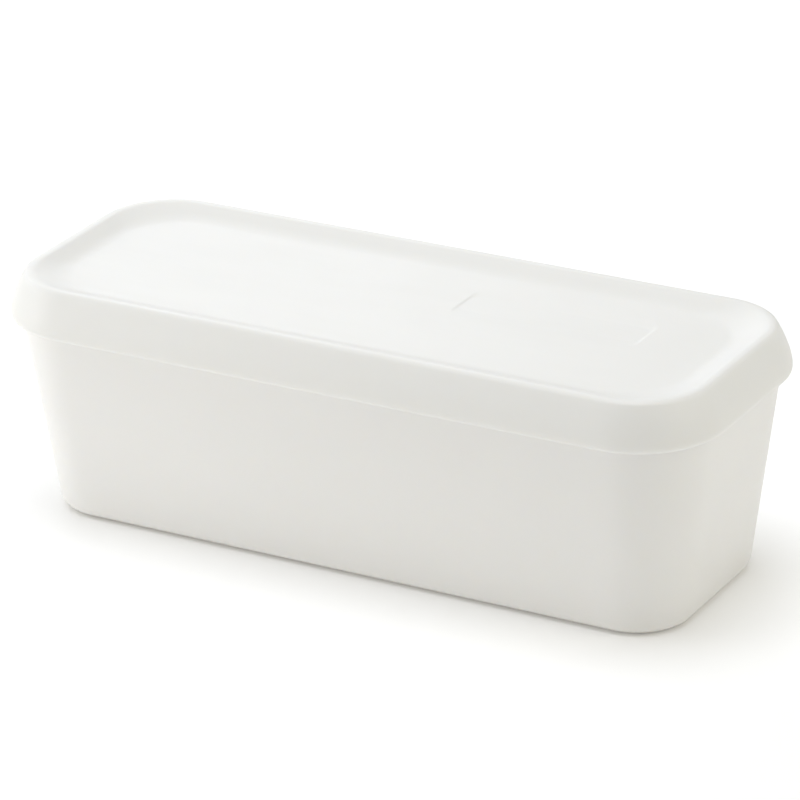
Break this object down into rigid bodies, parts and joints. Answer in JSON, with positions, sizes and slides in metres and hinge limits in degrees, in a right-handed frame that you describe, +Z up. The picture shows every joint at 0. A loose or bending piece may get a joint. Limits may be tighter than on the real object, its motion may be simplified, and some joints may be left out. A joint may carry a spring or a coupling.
{
  "type": "ice cream tub",
  "caption": "Long tub with tapered walls and rounded corners, shut by a cap lid with a dished top and a flared skirt; keeps ice cream in a freezer.",
  "frame": {"origin": "centre of the tub's outline, on the plane that it stands on", "axes": "+X along the tub, +Y across it, +Z up; the shallow field in the lid lies towards +X and +Y"},
  "size_m": [0.27, 0.1072, 0.0881],
  "materials": {
    "tub_plastic": "satin, milky white",
    "lid_plastic": "soft matt, milky white"
  },
  "bodies": {
    "root": {"tub_body": "tub_plastic", "lid": "lid_plastic"}
  },
  "joints": []
}
